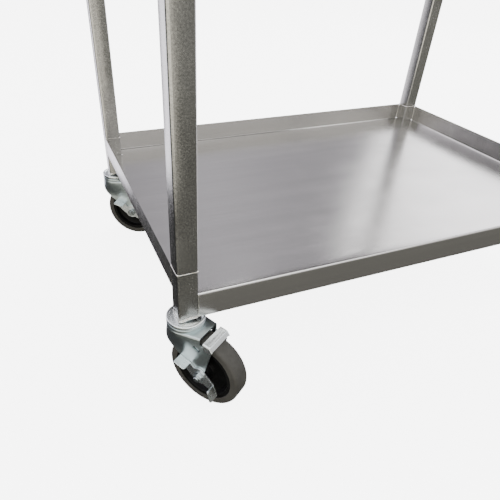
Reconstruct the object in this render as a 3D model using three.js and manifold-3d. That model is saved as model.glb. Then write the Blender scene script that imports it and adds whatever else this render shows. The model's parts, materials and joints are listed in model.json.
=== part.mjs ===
// A stainless kitchen island cart: a welded square-tube frame with a worktop, a tray shelf
// with three turned-up rims and a turned-down front, and four swivel casters with side brakes.
// Millimetres, +X along the long side, +Y to the back, +Z up, origin on the floor in the middle.
import * as THREE from "three";
import { mergeVertices } from "three/addons/utils/BufferGeometryUtils.js";
import Module from "manifold-3d";

// ---- driving dimensions ----
const TUBE = 31.75; // outside of the square tube
const TUBE_WALL = 1.5;
const TUBE_CORNER = 4; // outside corner radius of the tube
const SHEET = 1.5; // worktop and shelf sheet
const GAP = 0.3; // between pieces that touch
const FRAME_LENGTH = 857; // over the legs
const FRAME_DEPTH = 570;
const TOP_LENGTH = 914.4;
const TOP_DEPTH = 609.6;
const TOP_HEIGHT = 864; // working surface above the floor
const TOP_SKIRT = 38; // turned-down edge of the worktop
const RETURN_LIP = 12; // hem folded inwards under a turned-down edge
const FOOT_HEIGHT = 152.4; // lower end of the corner posts, the casters' overall height
const SHELF_HEIGHT = 197.3; // upper face of the shelf
const RIM_HEIGHT = 39; // shelf rims above the shelf's upper face
const HAT_WIDTH = 60; // stiffening channel: web width, depth and edge flanges
const HAT_DEPTH = 24;
const HAT_FLANGE = 16;

const WHEEL_RADIUS = 63.5;
const TREAD_WIDTH = 32;
const HUB_RADIUS = 50.5; // where tread and hub meet
const WHEEL_SIDES = 24;
const RACE_SIDES = 20;
const TRAIL = 42; // from the swivel axis to the axle
const FORK_INSIDE = 20; // half the clear width between the fork's legs
const FORK_SHEET = 2.5;
const CROWN_TOP = 139; // upper face of the fork's crown above the floor
const CROWN_SHEET = 3;
const RACE_HEIGHT = 5; // lower raceway above the crown
const RACE_RADIUS = 30; // outside of the swivel head
const STEM_RADIUS = 5;
const KINGPIN_RADIUS = 6;
const AXLE_RADIUS = 4;
const SLEEVE_RADIUS = 6.5;
const HEX_RADIUS = 8; // over the corners of the axle's nut and head
const LEVER_SHEET = 2.5;
const LEVER_PAD = 16; // how far the lever's foot pads stand out
const SHOE_TOP = 134.5; // leading edge of the brake bar above the floor, off the tread
const SHOE_SHEET = 2;

// Each caster's corner (signs of X and Y) and the direction in which its wheel trails.
const CASTERS = [
  { name: "front_left", side: -1, end: -1, azimuth: -55 },
  { name: "back_left", side: -1, end: 1, azimuth: -35 },
  { name: "front_right", side: 1, end: -1, azimuth: 195 },
  { name: "back_right", side: 1, end: 1, azimuth: 125 },
];

const CROWN_END = TRAIL - 0.5; // the crown's straight trailing edge
const RIM_TOP = SHELF_HEIGHT + RIM_HEIGHT;
const UNDER_TOP = TOP_HEIGHT - SHEET - GAP; // where legs and rails end under the worktop
const LEG_X = (FRAME_LENGTH - TUBE) / 2;
const LEG_Y = (FRAME_DEPTH - TUBE) / 2;
const X = new THREE.Vector3(1, 0, 0);
const Y = new THREE.Vector3(0, 1, 0);
const Z = new THREE.Vector3(0, 0, 1);

// ---- materials ----
const metal = (color, roughness) =>
  new THREE.MeshStandardMaterial({ color, roughness, metalness: 1 });
const plastic = (color, roughness) =>
  new THREE.MeshStandardMaterial({ color, roughness, metalness: 0 });
const brushedSteel = metal(0xb9b6ba, 0.32);
const tubeSteel = metal(0x7d7a70, 0.4);
const zincPlate = metal(0xc3ccd0, 0.22);
const darkSteel = metal(0x6a6d70, 0.35);
const hubPlastic = plastic(0x0c0c0d, 0.45);
const treadRubber = plastic(0x6b6b66, 0.75);

// ---- joining and cutting closed meshes ----
const manifold = await Module();
manifold.setup();

function toSolid(geometry) {
  const bare = geometry.clone();
  bare.deleteAttribute("normal");
  bare.deleteAttribute("uv");
  const merged = mergeVertices(bare, 1e-4);
  return new manifold.Manifold(
    new manifold.Mesh({
      numProp: 3,
      vertProperties: merged.attributes.position.array,
      triVerts: new Uint32Array(merged.index.array),
    }),
  );
}

function toGeometry(solid) {
  const mesh = solid.getMesh();
  const geometry = new THREE.BufferGeometry();
  geometry.setAttribute("position", new THREE.BufferAttribute(mesh.vertProperties, 3));
  geometry.setIndex(new THREE.BufferAttribute(mesh.triVerts, 1));
  const flat = geometry.toNonIndexed();
  flat.computeVertexNormals();
  return flat;
}

function join(...geometries) {
  return toGeometry(geometries.map(toSolid).reduce((all, next) => all.add(next)));
}

function cut(geometry, ...tools) {
  return toGeometry(tools.map(toSolid).reduce((left, tool) => left.subtract(tool), toSolid(geometry)));
}

// ---- shapes ----
// A box from its lowest to its highest corner.
function boxBetween(low, high) {
  const size = high.map((value, i) => value - low[i]);
  const centre = high.map((value, i) => (value + low[i]) / 2);
  return new THREE.BoxGeometry(...size).translate(...centre);
}

// A square with rounded corners about the origin, as a shape or as a hole's path.
function roundedSquare(size, radius, path) {
  const reach = size / 2 - radius;
  [[1, 1], [-1, 1], [-1, -1], [1, -1]].forEach(([sx, sy], quarter) => {
    const start = (quarter * Math.PI) / 2;
    path.absarc(sx * reach, sy * reach, radius, start, start + Math.PI / 2, false);
  });
  return path;
}

// A length of square tube standing on z = 0.
function squareTube(length) {
  const section = roundedSquare(TUBE, TUBE_CORNER, new THREE.Shape());
  const inside = TUBE - 2 * TUBE_WALL;
  section.holes.push(roundedSquare(inside, TUBE_CORNER - TUBE_WALL, new THREE.Path()));
  return new THREE.ExtrudeGeometry(section, { depth: length, bevelEnabled: false, curveSegments: 1 });
}

// A cylinder along +Z from z = low to z = high; six sides make a hexagon.
function upright(radius, low, high, sides = 16) {
  return new THREE.CylinderGeometry(radius, radius, high - low, sides)
    .rotateX(Math.PI / 2)
    .translate(0, 0, (low + high) / 2);
}

// A cylinder along Y from y = low to y = high.
function crosswise(radius, low, high, sides = 12) {
  return new THREE.CylinderGeometry(radius, radius, high - low, sides)
    .translate(0, (low + high) / 2, 0);
}

// A closed profile of [radius, height] pairs turned about the Z axis.
function turned(profile, sides) {
  const points = profile.map(([r, z]) => new THREE.Vector2(r, z));
  return new THREE.LatheGeometry(points, sides).rotateX(Math.PI / 2);
}

// A plate whose outline is drawn in X and Z, filling y = low to y = high.
function sidePlate(outline, low, high) {
  return new THREE.ExtrudeGeometry(outline, { depth: high - low, bevelEnabled: false, curveSegments: 3 })
    .rotateX(Math.PI / 2)
    .translate(0, high, 0);
}

// ---- scene graph ----
const group = new THREE.Group();

function piece(name, geometry, material, parent = group) {
  const mesh = new THREE.Mesh(geometry, material);
  mesh.name = name;
  parent.add(mesh);
  return mesh;
}

// ---- worktop: a pan of sheet, open below, with a hem round its turned-down edge ----
function worktop() {
  const x = TOP_LENGTH / 2;
  const y = TOP_DEPTH / 2;
  const bottom = TOP_HEIGHT - TOP_SKIRT;
  const lip = SHEET + RETURN_LIP;
  const inside = boxBetween(
    [SHEET - x, SHEET - y, bottom + SHEET],
    [x - SHEET, y - SHEET, TOP_HEIGHT - SHEET],
  );
  const mouth = boxBetween([lip - x, lip - y, bottom - 1], [x - lip, y - lip, bottom + 2 * SHEET]);
  return cut(boxBetween([-x, -y, bottom], [x, y, TOP_HEIGHT]), inside, mouth);
}

// A hat-section channel of the given length along X, its edge flanges against z = 0 from below.
function hatChannel(length) {
  const web = HAT_WIDTH / 2;
  const edge = web + HAT_FLANGE;
  const section = new THREE.Shape([
    new THREE.Vector2(-edge, 0),
    new THREE.Vector2(-edge, -SHEET),
    new THREE.Vector2(-web, -SHEET),
    new THREE.Vector2(-web, -HAT_DEPTH),
    new THREE.Vector2(web, -HAT_DEPTH),
    new THREE.Vector2(web, -SHEET),
    new THREE.Vector2(edge, -SHEET),
    new THREE.Vector2(edge, 0),
    new THREE.Vector2(web - SHEET, 0),
    new THREE.Vector2(web - SHEET, SHEET - HAT_DEPTH),
    new THREE.Vector2(SHEET - web, SHEET - HAT_DEPTH),
    new THREE.Vector2(SHEET - web, 0),
  ]);
  return new THREE.ExtrudeGeometry(section, { depth: length, bevelEnabled: false })
    .translate(0, 0, -length / 2)
    .applyMatrix4(new THREE.Matrix4().makeBasis(Y, Z, X));
}

piece("worktop", worktop(), brushedSteel);
const channelLength = FRAME_LENGTH - 2 * TUBE - 2 * GAP;
piece("worktop_stiffener", hatChannel(channelLength), brushedSteel).position.z = UNDER_TOP;

// ---- frame: four legs on four corner posts, tied by four rails under the worktop ----
for (const { name, side, end } of CASTERS) {
  const leg = piece("leg_" + name, squareTube(UNDER_TOP - RIM_TOP - GAP), tubeSteel);
  leg.position.set(side * LEG_X, end * LEG_Y, RIM_TOP + GAP);
  const post = piece("corner_post_" + name, squareTube(RIM_TOP - FOOT_HEIGHT), tubeSteel);
  post.position.set(side * LEG_X, end * LEG_Y, FOOT_HEIGHT);
}

const railZ = UNDER_TOP - TUBE / 2;
for (const [name, end] of [["front", -1], ["back", 1]]) {
  const length = FRAME_LENGTH - 2 * TUBE - 2 * GAP;
  const rail = piece("top_rail_" + name, squareTube(length), tubeSteel);
  rail.rotation.y = Math.PI / 2;
  rail.position.set(-length / 2, end * LEG_Y, railZ);
}
for (const [name, side] of [["left", -1], ["right", 1]]) {
  const length = FRAME_DEPTH - 2 * TUBE - 2 * GAP;
  const rail = piece("top_rail_" + name, squareTube(length), tubeSteel);
  rail.rotation.x = -Math.PI / 2;
  rail.position.set(side * LEG_X, -length / 2, railZ);
}

// ---- shelf: rims up on the left, right and back, front edge turned down and hemmed ----
function shelf() {
  const x = FRAME_LENGTH / 2;
  const y = FRAME_DEPTH / 2;
  const floor = SHELF_HEIGHT - SHEET;
  const sheets = join(
    boxBetween([-x, -y, floor], [x, y, SHELF_HEIGHT]),
    boxBetween([-x, -y, floor], [SHEET - x, y, RIM_TOP]),
    boxBetween([x - SHEET, -y, floor], [x, y, RIM_TOP]),
    boxBetween([-x, y - SHEET, floor], [x, y, RIM_TOP]),
    boxBetween([-x, -y, FOOT_HEIGHT], [x, SHEET - y, SHELF_HEIGHT]),
    boxBetween([-x, -y, FOOT_HEIGHT], [x, RETURN_LIP - y, FOOT_HEIGHT + SHEET]),
  );
  const corner = TUBE + GAP;
  const notches = CASTERS.map(({ side, end }) => {
    const nearX = side * (x - corner);
    const nearY = end * (y - corner);
    const farX = side * (x + 1);
    const farY = end * (y + 1);
    return boxBetween(
      [Math.min(nearX, farX), Math.min(nearY, farY), FOOT_HEIGHT - 1],
      [Math.max(nearX, farX), Math.max(nearY, farY), RIM_TOP + 1],
    );
  });
  return cut(sheets, ...notches);
}

piece("shelf", shelf(), brushedSteel);
piece("shelf_stiffener", hatChannel(channelLength), brushedSteel).position.z =
  SHELF_HEIGHT - SHEET - GAP;

// ---- caster: the swivel axis is the local Z axis, and the wheel trails towards local +X ----
// The threaded insert welded into the post's foot.
function stemInsert() {
  const section = roundedSquare(TUBE - 2 * (TUBE_WALL + GAP), TUBE_CORNER - TUBE_WALL, new THREE.Shape());
  const body = new THREE.ExtrudeGeometry(section, { depth: 26, bevelEnabled: false, curveSegments: 1 })
    .translate(0, 0, FOOT_HEIGHT);
  return cut(body, upright(STEM_RADIUS + GAP, FOOT_HEIGHT - 1, FOOT_HEIGHT + 27));
}

// The upper raceway, staked to the threaded stem and to the kingpin's riveted end below the crown.
function swivelHead() {
  const rimLow = CROWN_TOP + RACE_HEIGHT + 0.6;
  const rimHigh = rimLow + 5.7;
  const inside = rimLow + 1.6;
  const face = inside + 2.4;
  const under = CROWN_TOP - CROWN_SHEET;
  const dish = turned([
    [0, under - 5],
    [9, under - 4],
    [9, under - GAP],
    [KINGPIN_RADIUS, under - GAP],
    [KINGPIN_RADIUS, inside],
    [RACE_RADIUS - 3, inside],
    [RACE_RADIUS - 3, rimLow],
    [RACE_RADIUS, rimLow],
    [RACE_RADIUS, rimHigh - 1.5],
    [RACE_RADIUS - 2, rimHigh],
    [RACE_RADIUS - 6, face],
    [STEM_RADIUS, face],
    [STEM_RADIUS, FOOT_HEIGHT + 24],
    [0, FOOT_HEIGHT + 24],
  ], RACE_SIDES);
  return join(dish, upright(12.5, face - 0.5, FOOT_HEIGHT - GAP, 6));
}

// The bearing balls between the two raceways, as one ring.
function ballRing() {
  const radius = 2.2;
  const centre = new THREE.Vector2(21, CROWN_TOP + GAP + radius);
  const profile = [];
  for (let i = 0; i <= 6; i += 1) {
    const angle = (-i * Math.PI) / 3;
    profile.push([centre.x + radius * Math.cos(angle), centre.y - radius * Math.sin(angle)]);
  }
  return turned(profile, 14);
}

// One leg of the fork: wide under the crown, stepped back where the brake bar crosses it, and
// narrowing to the axle's boss.
function forkLegOutline() {
  const boss = 12;
  const waist = 0.7; // radians above the boss's level line, where the leg's edges leave it
  const outline = new THREE.Shape();
  outline.moveTo(-19, CROWN_TOP - CROWN_SHEET);
  outline.lineTo(-18, CROWN_TOP - 16);
  outline.quadraticCurveTo(TRAIL - 53, WHEEL_RADIUS + 36, TRAIL - 33, WHEEL_RADIUS + 21);
  outline.lineTo(TRAIL - boss * Math.cos(waist), WHEEL_RADIUS + boss * Math.sin(waist));
  outline.absarc(TRAIL, WHEEL_RADIUS, boss, Math.PI - waist, 2 * Math.PI + waist, false);
  outline.lineTo(TRAIL + 11.5, WHEEL_RADIUS + 24);
  outline.lineTo(TRAIL + 19.5, WHEEL_RADIUS + 54);
  outline.quadraticCurveTo(TRAIL + 20, WHEEL_RADIUS + 60, TRAIL + 14, WHEEL_RADIUS + 60.5);
  outline.lineTo(TRAIL + 2, WHEEL_RADIUS + 61.5);
  outline.lineTo(CROWN_END, WHEEL_RADIUS + 65);
  outline.lineTo(CROWN_END, CROWN_TOP - CROWN_SHEET);
  return outline;
}

// The crown seen from above: round about the swivel axis, straight where it ends over the wheel.
function crownOutline() {
  const half = FORK_INSIDE + FORK_SHEET;
  const radius = RACE_RADIUS - 0.3;
  const start = Math.asin(half / radius);
  const outline = new THREE.Shape();
  outline.absarc(0, 0, radius, start, 2 * Math.PI - start, false);
  outline.lineTo(CROWN_END, -half);
  outline.lineTo(CROWN_END, half);
  return outline;
}

function fork() {
  const outside = FORK_INSIDE + FORK_SHEET;
  const crown = new THREE.ExtrudeGeometry(crownOutline(), {
    depth: CROWN_SHEET,
    bevelEnabled: false,
    curveSegments: 8,
  }).translate(0, 0, CROWN_TOP - CROWN_SHEET);
  const race = turned([
    [RACE_RADIUS - 3.5, CROWN_TOP - 1],
    [RACE_RADIUS - 0.3, CROWN_TOP - 1],
    [RACE_RADIUS - 0.3, CROWN_TOP + RACE_HEIGHT],
    [RACE_RADIUS - 3.5, CROWN_TOP + RACE_HEIGHT],
    [RACE_RADIUS - 3.5, CROWN_TOP - 1],
  ], RACE_SIDES);
  const body = join(
    crown,
    race,
    sidePlate(forkLegOutline(), -outside, -FORK_INSIDE),
    sidePlate(forkLegOutline(), FORK_INSIDE, outside),
  );
  const axleHole = crosswise(AXLE_RADIUS + GAP, -30, 30).translate(TRAIL, 0, WHEEL_RADIUS);
  const slot = new THREE.BoxGeometry(12, 60, 5)
    .rotateY(0.5)
    .translate(TRAIL - 6.5, 0, WHEEL_RADIUS + 53.5);
  return cut(body, upright(KINGPIN_RADIUS + GAP, 100, 150), axleHole, slot);
}

// The axle bolt with its hexagon head on the far side of the fork.
function axleBolt() {
  const head = FORK_INSIDE + FORK_SHEET + GAP;
  return join(
    crosswise(AXLE_RADIUS, -35, head + 1),
    crosswise(HEX_RADIUS, head, head + 5.5, 6),
  );
}

const leverFace = FORK_INSIDE + FORK_SHEET + GAP; // the lever runs on the near side of the fork
const nutFace = leverFace + LEVER_SHEET + GAP;

function axleNut() {
  return cut(
    crosswise(HEX_RADIUS, -nutFace - 6.5, -nutFace, 6),
    crosswise(AXLE_RADIUS + GAP, -50, 0),
  );
}

function axleSleeve() {
  const half = FORK_INSIDE - GAP;
  return cut(
    crosswise(SLEEVE_RADIUS, -half, half),
    crosswise(AXLE_RADIUS + GAP, -40, 40),
  );
}

// A ring about the axle whose half section, from its bore to its outside, is mirrored across the middle.
function wheelRing(half) {
  const section = [...half.map(([r, y]) => [r, -y]), ...half.toReversed(), [half[0][0], -half[0][1]]];
  return new THREE.LatheGeometry(section.map(([r, y]) => new THREE.Vector2(r, y)), WHEEL_SIDES);
}

// The moulded hub: a thick boss on the sleeve, a thin web and a rim that carries the tread.
function hub() {
  const boss = FORK_INSIDE - 1.5;
  const rim = TREAD_WIDTH / 2 - 1.5;
  return wheelRing([
    [SLEEVE_RADIUS + GAP, boss],
    [14, boss],
    [16, 9],
    [HUB_RADIUS - 8, 7],
    [HUB_RADIUS - 6, rim],
    [HUB_RADIUS, rim],
  ]);
}

// The rubber tyre, with its edges rounded towards the rolling surface.
function tread() {
  const half = TREAD_WIDTH / 2;
  return wheelRing([
    [HUB_RADIUS + GAP, half],
    [WHEEL_RADIUS - 5, half],
    [WHEEL_RADIUS - 1.4, half - 3],
    [WHEEL_RADIUS, half - 8],
  ]);
}

// The side-brake lever: a rocking plate on the axle with a foot pad bent outwards at each end. Places
// are measured from the axle: along the trail, then upwards.
const RELEASE_PAD = [[-36.4, 25.2], [-16.7, 19.2]]; // the upper pad's bend
const LOCK_PAD = [[27.3, -4.1], [33.2, -24.9]]; // the lower pad's bend

// A plate bent outwards along the line from a to b, its outer face on that line.
function footPad([[ax, az], [bx, bz]]) {
  const length = Math.hypot(bx - ax, bz - az);
  const inX = ((bz - az) / length) * LEVER_SHEET;
  const inZ = (-(bx - ax) / length) * LEVER_SHEET;
  const outline = new THREE.Shape();
  outline.moveTo(ax, az);
  outline.lineTo(bx, bz);
  outline.lineTo(bx + inX, bz + inZ);
  outline.lineTo(ax + inX, az + inZ);
  return sidePlate(outline, -leverFace - LEVER_SHEET - LEVER_PAD, -leverFace);
}

function brakeLever() {
  const [heel, heelEnd] = RELEASE_PAD;
  const [toe, toeEnd] = LOCK_PAD;
  const hump = 15.5;
  const outline = new THREE.Shape();
  outline.moveTo(...heel);
  outline.lineTo(...heelEnd);
  outline.lineTo(-9, 12.5);
  outline.absarc(0, 0, hump, 2.1, 0.6, true);
  outline.lineTo(20.5, 2);
  outline.lineTo(...toe);
  outline.lineTo(...toeEnd);
  outline.lineTo(18, -17);
  outline.absarc(0, 0, hump - 1, -1.05, -2.6, true);
  outline.lineTo(-22, 1);
  outline.lineTo(heel[0] - 1, 14);
  const plate = sidePlate(outline, -leverFace - LEVER_SHEET, -leverFace);
  return cut(join(plate, footPad(RELEASE_PAD), footPad(LOCK_PAD)), crosswise(AXLE_RADIUS + GAP, -50, 0));
}

// The brake bar over the tread: flat, then bent down along its trailing edge, with an ear down each
// side of the fork.
function brakeShoe() {
  const ear = FORK_INSIDE + FORK_SHEET + GAP;
  const wide = ear + SHOE_SHEET;
  const start = CROWN_END + 6.5;
  const profile = [[start, SHOE_TOP], [start + 12, SHOE_TOP - 2], [start + 16.5, SHOE_TOP - 8.5]];
  const bar = new THREE.Shape();
  bar.moveTo(...profile[0]);
  bar.lineTo(...profile[1]);
  bar.lineTo(...profile[2]);
  bar.lineTo(profile[2][0] - SHOE_SHEET, profile[2][1] - 1);
  bar.lineTo(profile[1][0] - 1, profile[1][1] - SHOE_SHEET);
  bar.lineTo(start, SHOE_TOP - SHOE_SHEET);
  const side = new THREE.Shape();
  side.moveTo(...profile[0]);
  side.lineTo(...profile[1]);
  side.lineTo(...profile[2]);
  side.lineTo(start + 14, SHOE_TOP - 14);
  side.lineTo(start + 2, SHOE_TOP - 12);
  return join(
    sidePlate(bar, -wide, wide),
    sidePlate(side, -wide, -ear),
    sidePlate(side, ear, wide),
  );
}

for (const { name, side, end, azimuth } of CASTERS) {
  const caster = new THREE.Group();
  caster.position.set(side * LEG_X, end * LEG_Y, 0);
  piece("stem_insert_" + name, stemInsert(), darkSteel, caster);
  group.add(caster);

  const swivel = new THREE.Group();
  swivel.rotation.z = THREE.MathUtils.degToRad(azimuth);
  caster.add(swivel);
  piece("swivel_head_" + name, swivelHead(), zincPlate, swivel);
  piece("bearing_balls_" + name, ballRing(), darkSteel, swivel);
  piece("fork_" + name, fork(), zincPlate, swivel);
  piece("brake_shoe_" + name, brakeShoe(), zincPlate, swivel);

  const axle = new THREE.Group();
  axle.position.set(TRAIL, 0, WHEEL_RADIUS);
  swivel.add(axle);
  piece("axle_bolt_" + name, axleBolt(), zincPlate, axle);
  piece("axle_nut_" + name, axleNut(), zincPlate, axle);
  piece("axle_sleeve_" + name, axleSleeve(), darkSteel, axle);
  piece("wheel_hub_" + name, hub(), hubPlastic, axle);
  piece("wheel_tread_" + name, tread(), treadRubber, axle);
  piece("brake_lever_" + name, brakeLever(), zincPlate, axle);
}

export default group;
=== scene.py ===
import json
import math

import bmesh
import bpy
import numpy as np
from mathutils import Matrix, Vector


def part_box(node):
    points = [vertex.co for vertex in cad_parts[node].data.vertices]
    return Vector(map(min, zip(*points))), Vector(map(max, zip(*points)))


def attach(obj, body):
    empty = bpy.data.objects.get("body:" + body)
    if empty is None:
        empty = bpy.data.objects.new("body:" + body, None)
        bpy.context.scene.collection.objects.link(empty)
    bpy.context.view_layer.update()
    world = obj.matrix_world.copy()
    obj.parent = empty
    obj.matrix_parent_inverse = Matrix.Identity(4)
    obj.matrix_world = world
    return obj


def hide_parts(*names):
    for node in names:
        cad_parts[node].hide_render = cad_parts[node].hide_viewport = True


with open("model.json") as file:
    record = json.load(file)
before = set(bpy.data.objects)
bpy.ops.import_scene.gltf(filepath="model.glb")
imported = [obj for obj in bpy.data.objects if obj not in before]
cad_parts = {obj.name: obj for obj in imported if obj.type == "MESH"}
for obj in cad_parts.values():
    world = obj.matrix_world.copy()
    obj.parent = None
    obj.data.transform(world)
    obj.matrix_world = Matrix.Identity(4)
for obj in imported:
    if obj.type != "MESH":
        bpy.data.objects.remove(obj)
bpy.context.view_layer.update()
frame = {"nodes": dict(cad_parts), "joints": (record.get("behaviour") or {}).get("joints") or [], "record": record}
MM = 0.001

# ---- camera ----
# It stands off the cart's front left corner, well above the shelf, and looks down across it.
CAMERA_PLACE = Vector((-0.5636, -0.7738, 0.6162))
LOOK_RIGHT, LOOK_DOWN, LOOK_ROLL = (math.radians(a) for a in (22.96, 36.45, 2.05))
ahead = Vector((
    math.sin(LOOK_RIGHT) * math.cos(LOOK_DOWN),
    math.cos(LOOK_RIGHT) * math.cos(LOOK_DOWN),
    -math.sin(LOOK_DOWN),
))
level = Vector((math.cos(LOOK_RIGHT), -math.sin(LOOK_RIGHT), 0))
above = level.cross(ahead)
to_right = level * math.cos(LOOK_ROLL) + above * math.sin(LOOK_ROLL)
to_top = above * math.cos(LOOK_ROLL) - level * math.sin(LOOK_ROLL)
camera = bpy.data.objects.new("camera", bpy.data.cameras.new("camera"))
camera.data.sensor_width = 36
camera.data.lens = 33.45
camera.data.shift_x, camera.data.shift_y = 0.0484, 0.047
camera.data.clip_start = 0.02
turn = Matrix((to_right, to_top, -ahead)).transposed().to_4x4()
camera.matrix_world = Matrix.Translation(CAMERA_PLACE) @ turn
bpy.context.collection.objects.link(camera)
bpy.context.scene.camera = camera


# ---- studio ----
# Round the cart the camera sees only a pale floor and a plain, equally bright backdrop. The metal
# mirrors a room instead: walls that differ with the compass direction, a dark ground that meets them
# below the horizon, and a bright ceiling. North is +Y and east is +X.
class Value:
    """A number or colour on a surface: arithmetic on it adds Math nodes."""

    def __init__(self, nodes, socket):
        self.nodes = nodes
        self.socket = socket

    def __add__(self, other):
        return self.nodes.math("ADD", self, other)

    def __sub__(self, other):
        return self.nodes.math("SUBTRACT", self, other)

    def __rsub__(self, other):
        return self.nodes.math("SUBTRACT", other, self)

    def __mul__(self, other):
        return self.nodes.math("MULTIPLY", self, other)

    __radd__ = __add__
    __rmul__ = __mul__


class Nodes:
    """A node tree that is written as expressions."""

    def __init__(self, tree):
        self.tree = tree
        tree.nodes.clear()

    def node(self, kind, settings=(), inputs=(), output=0):
        """Adds a node: settings are its properties, inputs its sockets' values or links."""
        made = self.tree.nodes.new(kind)
        for key, value in dict(settings).items():
            if key == "stops":
                ramp = made.color_ramp
                while len(ramp.elements) < len(value):
                    ramp.elements.new(0.5)
                for element, (place, colour) in zip(ramp.elements, value):
                    element.position = place
                    element.color = (*colour, 1)
            else:
                setattr(made, key, value)
        for key, value in dict(inputs).items():
            if isinstance(value, Value):
                self.tree.links.new(value.socket, made.inputs[key])
            else:
                made.inputs[key].default_value = value
        return Value(self, made.outputs[output]) if made.outputs else None

    def math(self, operation, *values):
        return self.node("ShaderNodeMath", {"operation": operation}, enumerate(values))

    def clamp(self, value, low=0.0, high=1.0):
        return self.node("ShaderNodeClamp", (), {0: value, 1: low, 2: high})

    def smooth(self, value, low, high):
        """0 below low, 1 above high, and an S-curve between."""
        return self.node(
            "ShaderNodeMapRange",
            {"interpolation_type": "SMOOTHSTEP"},
            {0: value, 1: low, 2: high, 3: 0.0, 4: 1.0},
        )

    def mix(self, share, a, b):
        """Colour a where share is 0 and colour b where it is 1."""
        a, b = ((*c, 1) if isinstance(c, tuple) else c for c in (a, b))
        return self.node("ShaderNodeMix", {"data_type": "RGBA"}, {0: share, 6: a, 7: b}, output=2)

    def noise(self, where, stretch, detail=3.0, roughness=0.55):
        """Fractal noise, 0 to 1, of the place times stretch, in waves per metre."""
        scaled = self.node("ShaderNodeVectorMath", {"operation": "MULTIPLY"}, {0: where, 1: stretch})
        settings = {"Vector": scaled, "Scale": 1.0, "Detail": detail, "Roughness": roughness}
        return self.node("ShaderNodeTexNoise", (), settings)

    def parts(self, vector):
        made = self.node("ShaderNodeSeparateXYZ", (), {0: vector}).socket.node
        return [Value(self, out) for out in made.outputs]


world = bpy.data.worlds.new("studio")
bpy.context.scene.world = world
world.use_nodes = True
room = Nodes(world.node_tree)
east, north, height = room.parts(room.node("ShaderNodeTexCoord"))
# The north wall's brightness, by how far east the direction points. Its east end is the brightest.
brightness = {0: 0.24, 0.16: 0.25, 0.30: 0.34, 0.42: 0.28, 0.54: 0.22, 0.62: 0.26, 0.70: 0.82, 0.80: 1}
stops = [(toward_east, (grey,) * 3) for toward_east, grey in brightness.items()]
panels = room.node("ShaderNodeValToRGB", {"stops": stops}, {0: east})
lit = room.mix(panels, (0.0, 0.0, 0.0), (2.1, 2.03, 2.2))
# A bright doorway in the north-west, whose east edge is bright only well below the horizon, and an
# unlit wall west of it.
west = east * -1.0
lintel = room.smooth(height, -0.36, -0.32) * (1 - room.smooth(west, 0.15, 0.20))
doorway = room.smooth(west, 0.08, 0.13) * (1 - room.smooth(west, 0.45, 0.75)) * (1 - lintel)
unlit = room.mix(room.smooth(west, 0.5, 0.8), lit, (0.16, 0.16, 0.17))
back_wall = room.mix(doorway, unlit, (3.2, 3.1, 3.4))
# The south wall. Below the horizon its west part is bright, like a pale curtain, and the rest dim.
# Above the horizon it is even, and it is bright again higher up.
curtained = 1 - room.smooth(east, 0.09, 0.14)
curtain = room.mix(curtained, (0.34, 0.335, 0.31), (2.1, 2.0, 1.75))
front_wall = room.mix(room.smooth(height, 0.0, 0.15), curtain, (0.95, 0.93, 0.90))
front_wall = room.mix(room.smooth(height, 0.5, 0.65), front_wall, (2.6, 2.6, 2.6))
facing_north = room.smooth(north, -0.35, 0.05)
walls = room.mix(facing_north, front_wall, back_wall)
walls = room.mix(room.smooth(height, 0.72, 0.95), walls, (2.4, 2.4, 2.4))
# The walls meet the ground at this height, lower in the north and under the curtain.
skirting = -0.29 - room.smooth(north, -0.2, 0.4) * 0.13 - (1 - facing_north) * curtained * 0.10
ground = room.mix(facing_north, (0.20, 0.196, 0.178), (0.06, 0.06, 0.06))
glow = room.mix(room.smooth(height - skirting, -0.03, 0.03), ground, walls)
seen = room.node("ShaderNodeLightPath", output=0)
BACKDROP = 6.0  # glow of the backdrop and the floor, which the film shows as nearly white
backdrop = room.mix(seen, glow, (BACKDROP,) * 3)
matt = room.node("ShaderNodeLightPath", output=2)
DIMMED = 0.55  # share of the room's light that matt surfaces don't get
sky = room.node("ShaderNodeBackground", (), {"Color": backdrop, "Strength": 1 - matt * DIMMED})
room.node("ShaderNodeOutputWorld", (), {"Surface": sky})


def softbox(name, place, target, size, power):
    """A rectangular lamp of that size at place, facing target."""
    lamp = bpy.data.objects.new(name, bpy.data.lights.new(name, "AREA"))
    lamp.data.shape = "RECTANGLE"
    lamp.data.size, lamp.data.size_y = size
    lamp.data.energy = power
    lamp.location = place
    lamp.rotation_euler = (Vector(target) - Vector(place)).to_track_quat("-Z", "Y").to_euler()
    bpy.context.collection.objects.link(lamp)


softbox("top_light", (0.6, 0.4, 3.2), (0, 0, 0.2), (3.0, 3.0), 75)
softbox("left_light", (-2.6, -0.6, 1.3), (0, 0, 0.3), (1.6, 1.8), 5)
softbox("back_light", (3.0, 2.0, 1.9), (0.1, 0, 0.3), (2.0, 1.6), 22)


class Finish(Nodes):
    """A material that ends in one Principled shader."""

    def __init__(self, name, **constants):
        self.material = bpy.data.materials.new(name)
        self.material.use_nodes = True
        super().__init__(self.material.node_tree)
        shader = self.node("ShaderNodeBsdfPrincipled")
        self.shader = shader.socket.node
        self.node("ShaderNodeOutputMaterial", (), {0: shader})
        self.set(**constants)
        self.place = self.node("ShaderNodeTexCoord", output=3)
        self.unfolded = self.node("ShaderNodeTexCoord", output=2)

    def set(self, **values):
        """Sets or links the shader's sockets; an underscore stands for a space."""
        for key, value in values.items():
            socket = self.shader.inputs[key.replace("_", " ")]
            if isinstance(value, Value):
                self.tree.links.new(value.socket, socket)
            else:
                socket.default_value = (*value, 1) if isinstance(value, tuple) else value

    def relief(self, height, depth, strength=1.0):
        """Bumps the surface by height (0 to 1) times depth in metres."""
        bump = self.node(
            "ShaderNodeBump", (), {"Height": height, "Distance": depth, "Strength": strength}
        )
        self.set(Normal=bump)


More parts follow.
